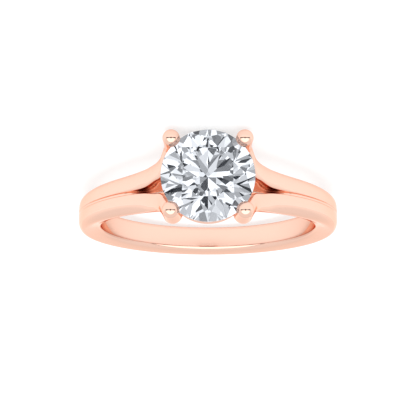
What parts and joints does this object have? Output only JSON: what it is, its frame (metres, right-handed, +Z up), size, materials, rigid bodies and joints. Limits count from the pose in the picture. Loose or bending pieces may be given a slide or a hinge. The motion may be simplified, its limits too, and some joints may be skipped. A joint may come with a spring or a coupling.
{
  "type": "split shank solitaire ring",
  "caption": "Solitaire ring lying on its side, with a round brilliant in ball-tipped prongs and a shank that splits into two strands at each shoulder.",
  "frame": {"origin": "middle of the ring's box, on the surface that it lies on", "axes": "+Z up from the surface, -Y from the palm toward the stone, +X across the ring; the finger bore leans from +Z toward +Y by the tilt at which the ring rests"},
  "size_m": [0.0206, 0.025, 0.0064],
  "materials": {
    "rose_gold": "mirror-polished rose gold",
    "clear_stone": "clear, colourless and faceted"
  },
  "bodies": {
    "root": {"shank_and_setting": "rose_gold", "stone": "clear_stone"}
  },
  "joints": []
}
